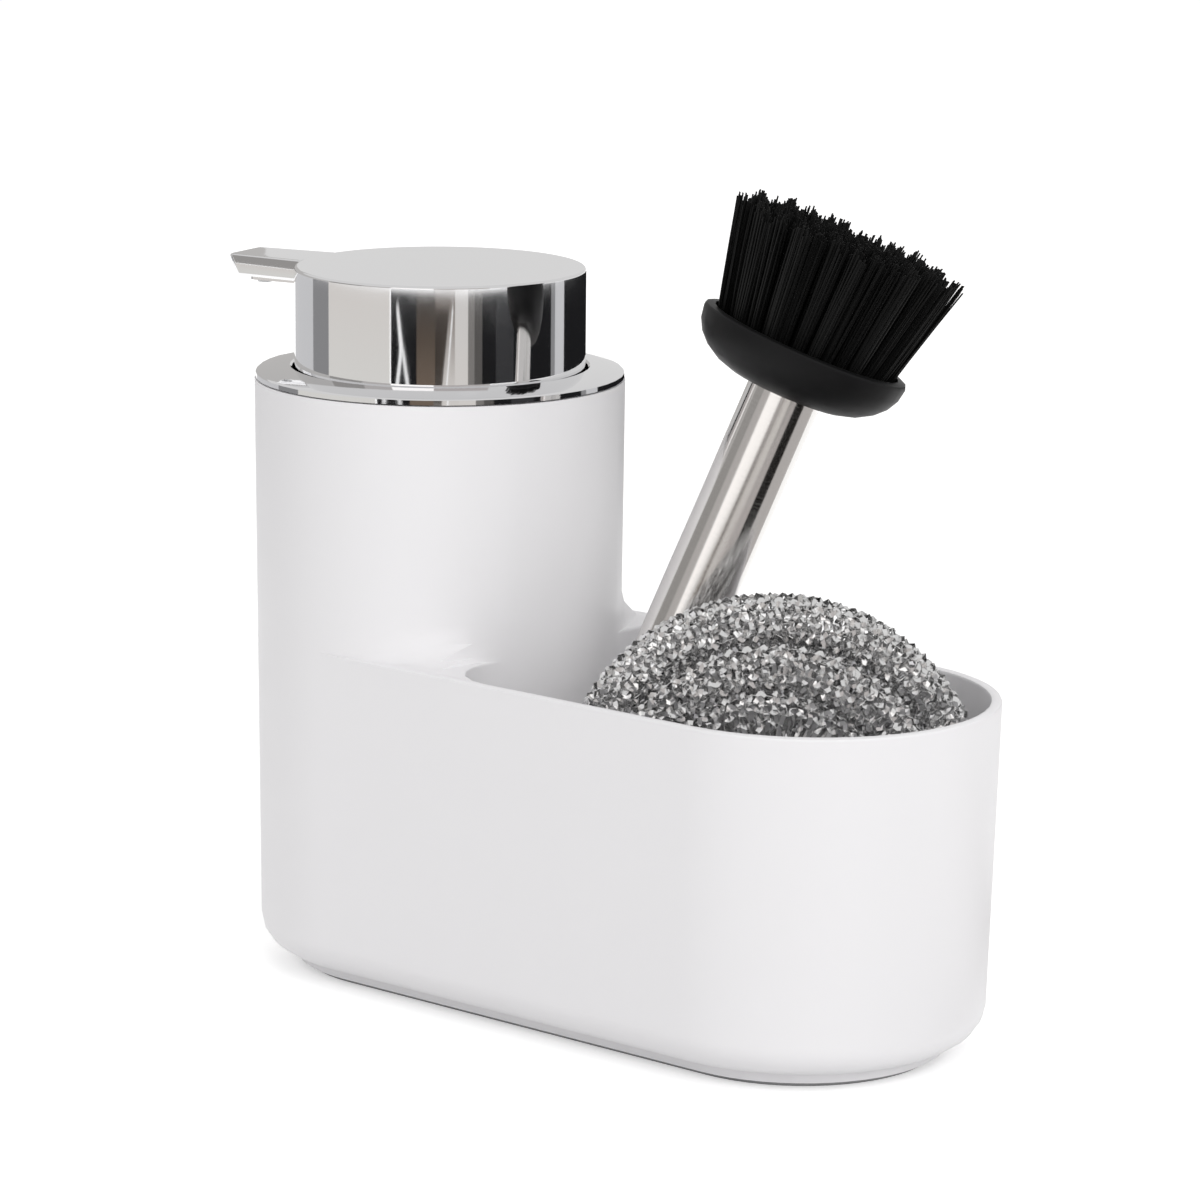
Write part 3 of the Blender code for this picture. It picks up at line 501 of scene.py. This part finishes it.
def from_camera_side(angle, radius):
    """A place round the object. Angles are in degrees, from the camera's side and to its right."""
    turned = camera_azimuth - math.pi / 2 + math.radians(angle)
    return radius * math.cos(turned), radius * math.sin(turned)


def add_card(name, low_span, high_span, heights, finish, radius):
    """An upright curved card round the object that only shiny surfaces see. Its sides may lean."""
    steps = max(1, round((low_span[1] - low_span[0]) / card_step))
    corners = []
    for i in range(steps + 1):
        share = i / steps
        low = low_span[0] + (low_span[1] - low_span[0]) * share
        high = high_span[0] + (high_span[1] - high_span[0]) * share
        corners.append((*from_camera_side(low, radius), heights[0]))
        corners.append((*from_camera_side(high, radius), heights[1]))
    faces = [(2 * i, 2 * i + 2, 2 * i + 3, 2 * i + 1) for i in range(steps)]
    show_to_metal_only(add_stage_mesh(name, corners, faces, finish))


def add_flag(name, start, end, finish):
    """A flat wedge on the floor that only shiny surfaces see."""
    steps = max(1, round((end - start) / card_step))
    corners = []
    for i in range(steps + 1):
        angle = start + (end - start) * i / steps
        corners.append((*from_camera_side(angle, flags_inner), flags_level))
        corners.append((*from_camera_side(angle, flags_outer), flags_level))
    faces = [(2 * i, 2 * i + 1, 2 * i + 3, 2 * i + 2) for i in range(steps)]
    show_to_metal_only(add_stage_mesh(name, corners, faces, finish))


def make_cards():
    """What the chrome head, the handle and the scourer mirror, in the photograph's order."""
    dark = (0.012, 0.012, 0.013)
    soot = (0.040, 0.040, 0.042)
    grey = (0.26, 0.26, 0.265)
    pale = (0.60, 0.60, 0.61)
    brown = (0.055, 0.045, 0.038)
    cream = (0.70, 0.67, 0.64)
    white = (1.0, 1.0, 1.0)
    low_row = [
        (-158, -115, pale, None),
        (-115, -94, grey, None),
        (-94, -37, cream, (0.72, 0.71, 0.68)),
        (-36, -16, dark, None),
        (-16, -2, brown, (0.17, 0.13, 0.10)),
        (-2, 13, (0.22, 0.19, 0.17), cream),
        (13, 23, (0.66, 0.64, 0.62), cream),
        (23, 28, (0.21, 0.20, 0.19), None),
        (28, 34, (0.10, 0.095, 0.09), None),
        (34, 45, dark, None),
        (45, 60, soot, None),
        (60, 97, dark, None),
        (97, 102, grey, None),
        (102, 114, pale, None),
        (114, 172, dark, None),
    ]
    for i, (start, end, level, lower) in enumerate(low_row):
        finish = add_glow(f"low_glow_{i + 1}", level, lower, head_sees)
        add_card(f"low_card_{i + 1}", (start, end), (start, end), low_cards, finish, cards_radius)
    bright = add_glow("strip_glow", white)
    shade = add_glow("strip_shade", brown)
    strips = [
        ((-33.5, -31), (-29, -26.5), (head_sees[0], strips_fork), bright),
        ((-22.5, -20), (-28, -25.5), (head_sees[0], strips_fork), bright),
        ((-29, -26), (-32, -30), (strips_fork, head_sees[1]), bright),
        ((-2, 2.5), (-2, 9), head_sees, shade),
        ((5.5, 6.5), (11, 12), head_sees, bright),
    ]
    for i, (low_span, high_span, heights, finish) in enumerate(strips):
        radius = cards_radius - strips_ahead
        add_card(f"strip_{i + 1}", low_span, high_span, heights, finish, radius)
    high_row = [
        (-172, -92, (0.50, 0.49, 0.48)),
        (-92, -60, (0.33, 0.32, 0.31)),
        (-60, -36, (0.50, 0.48, 0.47)),
        (-36, -3, (1.25, 1.22, 1.20)),
        (-3, 40, (0.50, 0.47, 0.46)),
    ]
    for i, (start, end, level) in enumerate(high_row):
        finish = add_glow(f"high_glow_{i + 1}", level)
        add_card(f"high_card_{i + 1}", (start, end), (start, end), high_cards, finish, cards_radius)
    flags = [
        (2, 40, (0.50, 0.47, 0.46)),
        (40, 63, (0.012, 0.011, 0.010)),
        (63, 100, (0.52, 0.50, 0.49)),
    ]
    for i, (start, end, level) in enumerate(flags):
        add_flag(f"flag_{i + 1}", start, end, add_glow(f"flag_glow_{i + 1}", level))


def make_lights():
    for name, place, width, power, seen_in_metal in lamps:
        light = bpy.data.lights.new(name, "AREA")
        light.shape = "DISK"
        light.size = width
        light.energy = power
        lamp = add_to_scene(bpy.data.objects.new(name, light))
        lamp.location = place
        lamp.rotation_mode = "QUATERNION"
        lamp.rotation_quaternion = (Vector(lamps_aim) - Vector(place)).to_track_quat("-Z", "Y")
        lamp.visible_glossy = seen_in_metal


# Bristles


def brush_frame():
    """The brush's own frame, and its cup's radius.

    The frame's origin is the middle of the cup's rim, and +Z runs out along the bristles.
    """
    axis = brush_axis()
    cup = [corner.co.copy() for corner in nodes["brush_cup"].data.vertices]
    middle = sum(cup, Vector()) / len(cup)
    start = min(point.dot(axis) for point in cup)
    rim = max(point.dot(axis) for point in cup)
    foot = middle + axis * (start - middle.dot(axis))
    turn = axis.to_track_quat("Z", "Y").to_matrix().to_4x4()
    radius = max(((point - foot) - axis * (point - foot).dot(axis)).length for point in cup)
    return Matrix.Translation(foot + axis * (rim - start)) @ turn, radius


def tuft_places(radius):
    """Tufts on an even grid of triangles, inside a circle."""
    places = []
    rows = math.ceil(radius / (tuft_pitch * math.sqrt(3) / 2))
    for i in range(-rows, rows + 1):
        for j in range(-rows, rows + 1):
            x = tuft_pitch * (i + j / 2)
            y = tuft_pitch * j * math.sqrt(3) / 2
            if math.hypot(x, y) <= radius:
                places.append((x, y))
    return places


def add_strand(built, foot, tip, bend):
    """A thin four-sided filament from foot to tip, bent sideways in the middle."""
    rings = []
    for level in range(strand_levels + 1):
        share = level / strand_levels
        centre = foot.lerp(tip, share) + bend * math.sin(math.pi * share)
        thin = strand_radius * (1 - strand_taper_share * share)
        ring = []
        for side in range(strand_sides):
            angle = math.tau * side / strand_sides
            out = Vector((math.cos(angle), math.sin(angle), 0))
            ring.append(built.verts.new(centre + out * thin))
        rings.append(ring)
    for lower, upper in zip(rings, rings[1:]):
        for side in range(strand_sides):
            other = (side + 1) % strand_sides
            built.faces.new((lower[side], lower[other], upper[other], upper[side]))
    built.faces.new(rings[0][::-1])
    built.faces.new(rings[-1])


def any_way(chance):
    """A random step in the plane across the brush's axis."""
    return Vector((chance.uniform(-1, 1), chance.uniform(-1, 1), 0))


def make_bristles(finish):
    """The tufts and their backing, in one mesh."""
    place, cup_radius = brush_frame()
    chance = random.Random(bristle_seed)
    backing_radius = cup_radius - cup_lip - backing_gap
    built = bmesh.new()
    for x, y in tuft_places(backing_radius - tuft_radius):
        height = bristle_height - cup_pocket + tuft_height_jitter * chance.uniform(-1, 1)
        drift = any_way(chance) * tuft_drift
        for _ in range(tuft_strands):
            angle = chance.uniform(0, math.tau)
            away = tuft_radius * math.sqrt(chance.random())
            inside = Vector((math.cos(angle), math.sin(angle), 0)) * away
            foot = Vector((x, y, -cup_pocket)) + inside * tuft_foot_share
            top = height + strand_height_jitter * chance.uniform(-1, 1)
            top -= tuft_point * (away / tuft_radius) ** 2
            tip = Vector((x, y, 0)) * bristle_spread_share + inside * tuft_flare_share + drift
            tip.z = top
            bend = any_way(chance) * strand_bend
            if chance.random() < stray_share:
                tip += any_way(chance) * stray_reach
            add_strand(built, foot, tip, bend)
    bmesh.ops.create_cone(
        built,
        cap_ends=True,
        segments=backing_sides,
        radius1=backing_radius,
        radius2=backing_radius,
        depth=backing_thickness,
        matrix=Matrix.Translation((0, 0, backing_rise - cup_pocket)),
    )
    mesh = bpy.data.meshes.new("brush_bristles")
    built.to_mesh(mesh)
    built.free()
    mesh.transform(place)
    mesh.materials.append(finish)
    bristles = add_to_scene(bpy.data.objects.new("brush_bristles", mesh))
    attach(bristles, "brush")
    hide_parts("bristles_1", "bristles_2", "bristles_3", "bristles_4")


# Return spring


def make_spring(finish):
    """The pump's spring as a round wire, built at rest; in the pump the piston squeezes it towards
    its seat.
    """
    low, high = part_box("return_spring")
    middle = (low + high) / 2
    reach = (high.x - low.x) / 2 - spring_wire
    climb = high.z - low.z - 2 * spring_wire
    pitch_angle = math.atan(climb / (math.tau * reach * spring_turns))
    count = spring_turns * spring_steps
    corners, faces = [], []
    for i in range(count + 1):
        around = math.tau * i / spring_steps
        radial = Vector((math.cos(around), math.sin(around), 0))
        aside = Vector((math.sin(around), -math.cos(around), 0)) * math.sin(pitch_angle)
        aside.z = math.cos(pitch_angle)
        centre = Vector((middle.x, middle.y, low.z + spring_wire + climb * i / count))
        centre += radial * reach
        for side in range(spring_sides):
            angle = math.tau * side / spring_sides
            out = radial * math.cos(angle) + aside * math.sin(angle)
            corners.append(centre + out * spring_wire)
    for i in range(count):
        for side in range(spring_sides):
            here = spring_sides * i + side
            other = spring_sides * i + (side + 1) % spring_sides
            faces.append((here, here + spring_sides, other + spring_sides, other))
    faces.append(tuple(range(spring_sides)))
    faces.append(tuple(spring_sides * count + side for side in reversed(range(spring_sides))))
    mesh = bpy.data.meshes.new("spring_coil")
    mesh.from_pydata(corners, [], faces)
    mesh.materials.append(finish)
    mesh.shade_smooth()
    spring = add_to_scene(bpy.data.objects.new("spring_coil", mesh))
    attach(spring, "lid_unit")
    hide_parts("return_spring")
    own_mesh(spring)


# Scourer


def winding_reach(turns):
    """How far the winding's middle is from the centre after so many turns.

    As in the solid, the turns step out early, so that the outer one is round. Past the first
    ones they step out together, which keeps them side by side.
    """
    part = turns - min(math.floor(turns), bun_turns - 1)
    rise = min(1, part / bun_step_share)
    early = rise * rise * (3 - 2 * rise) - part
    return ring_core + ring_pitch * (turns + min(1, turns / bun_even_turns) ** 2 * early)


def bun_section(turns, angle, draw, face):
    """A place on the winding's rounded section, and the ways out of it and along it.

    The section's inner side reaches to the turn before, wherever that lies.
    """
    reach = winding_reach(turns)
    around = bun_start + math.tau * turns
    radial = Vector((math.cos(around), math.sin(around), 0))
    along = Vector((-math.sin(around), math.cos(around), 0))
    upward = Vector((0, 0, face))
    crest = bun_half_thickness * math.sqrt(1 - (reach / bun_radius) ** bun_fullness_power)
    across, rise = math.cos(angle), math.sin(angle)
    width = ring_half_width - draw
    if across < 0 and turns > 1:
        width = reach - winding_reach(turns - 1) - ring_half_width
    depth = coil_half_depth - draw
    out = radial * math.copysign(abs(across) ** coil_square_power, across) * width
    out += upward * math.copysign(abs(rise) ** coil_square_power, rise) * depth
    centre = radial * reach + upward * (crest - coil_half_depth) + out
    facing = (radial * across * depth + upward * rise * width).normalized()
    return centre, facing, along


def turned_ribbon(centre, facing, flat, tilt):
    """A ribbon's centre, the way across it and the way through it, once it is tilted."""
    return (
        centre,
        flat * math.cos(tilt) + facing * math.sin(tilt),
        facing * math.cos(tilt) - flat * math.sin(tilt),
    )


def coil_path(chance, face):
    """One ribbon that coils round the winding, on one face of the bun."""
    shares = [0.5 * i / coil_upper_steps for i in range(coil_upper_steps)]
    shares += [0.5 + 0.5 * i / coil_lower_steps for i in range(coil_lower_steps)]
    path = []
    turns = 0.0
    now = [chance.uniform(-1, 1) for _ in range(4)]
    while turns < bun_turns:
        advance = coil_spacing / (math.tau * winding_reach(turns))
        then = [chance.uniform(-1, 1) for _ in now]
        for share in shares:
            lift, slide, bend, turn = (a + (b - a) * share for a, b in zip(now, then))
            here = min(bun_turns, turns + advance * share)
            draw = coil_jitter * (1 + lift)
            centre, facing, along = bun_section(here, math.tau * share, draw, face)
            wave = math.tau * (2 * wave_count * share + bend)
            centre += along * (wave_reach * math.sin(wave) + coil_jitter * slide)
            centre -= facing * (wave_reach * (1 + math.cos(wave)) / 2)
            tilt = twist_share * (math.sin(wave + bend) + twist_jitter_share * turn)
            path.append(turned_ribbon(centre, facing, along, tilt))
        now = then
        turns += advance
    return path


def lane_path(chance, face, lane):
    """One wavy ribbon that runs along the winding, between its coils."""
    path = []
    turns = 0.0
    wave = chance.uniform(0, math.tau)
    now = chance.uniform(-1, 1)
    then = chance.uniform(-1, 1)
    share = 0.0
    while turns < bun_turns:
        drift = now + (then - now) * share
        angle = math.pi * (lane + 0.5 + lane_drift_share * drift) / lane_count
        centre, facing, along = bun_section(turns, angle, lane_depth_share * coil_jitter, face)
        aside = facing.cross(along)
        centre += aside * (lane_swing * math.sin(wave))
        centre -= facing * (lane_swing * (1 + math.cos(2 * wave)) / 2)
        way = (along + aside * math.cos(wave)).normalized()
        tilt = twist_share * math.sin(wave + drift)
        path.append(turned_ribbon(centre, facing, facing.cross(way), tilt))
        wave += math.tau * lane_step / lane_wave * (1 + lane_pace_share * drift)
        share += lane_step / lane_wave
        if share >= 1:
            now = then
            then = chance.uniform(-1, 1)
            share = 0.0
        turns += lane_step / (math.tau * winding_reach(turns))
    return path


def add_ribbon(corners, faces, path):
    """A flat closed ribbon along a path."""
    section = ((-1, -1), (1, -1), (1, 1), (-1, 1))
    sides = len(section)
    first = len(corners)
    for centre, flat, thin in path:
        for a, b in section:
            edge = centre + flat * (a * ribbon_width / 2)
            corners.append(edge + thin * (b * ribbon_thickness / 2))
    faces.append(tuple(first + side for side in range(sides)))
    for i in range(len(path) - 1):
        low = first + sides * i
        high = low + sides
        for side in range(sides):
            other = (side + 1) % sides
            faces.append((low + side, low + other, high + other, high + side))
    last = len(corners) - sides
    faces.append(tuple(last + side for side in reversed(range(sides))))


def make_scourer(finish):
    """On each face of the bun, one ribbon coils round the winding and the lanes run along it."""
    chance = random.Random(ribbon_seed)
    corners, faces = [], []
    for face in (1, -1):
        add_ribbon(corners, faces, coil_path(chance, face))
        for lane in range(lane_count):
            add_ribbon(corners, faces, lane_path(chance, face, lane))
    mesh = bpy.data.meshes.new("scourer_ribbon")
    mesh.from_pydata(corners, [], faces)
    built = bmesh.new()
    built.from_mesh(mesh)
    bmesh.ops.recalc_face_normals(built, faces=built.faces)
    built.to_mesh(mesh)
    built.free()
    facing = Vector((math.cos(bun_turn), math.sin(bun_turn), 0))
    turned = facing.to_track_quat("Z", "Y").to_matrix().to_4x4()
    mesh.transform(Matrix.Translation(bun_centre) @ turned)
    mesh.materials.append(finish)
    mesh.shade_smooth()
    mesh.set_sharp_from_angle(angle=ribbon_corner)
    ribbon = add_to_scene(bpy.data.objects.new("scourer_ribbon", mesh))
    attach(ribbon, "scourer_bun")
    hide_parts("scourer")


def main():
    bpy.context.scene.view_settings.view_transform = "Standard"
    make_camera()
    make_world()
    make_floor()
    make_cards()
    make_lights()
    finishes = make_finishes()
    dress_solids(finishes)
    make_spring(finishes["steel"])
    make_bristles(finishes["bristle"])
    make_scourer(finishes["ribbon"])


main()
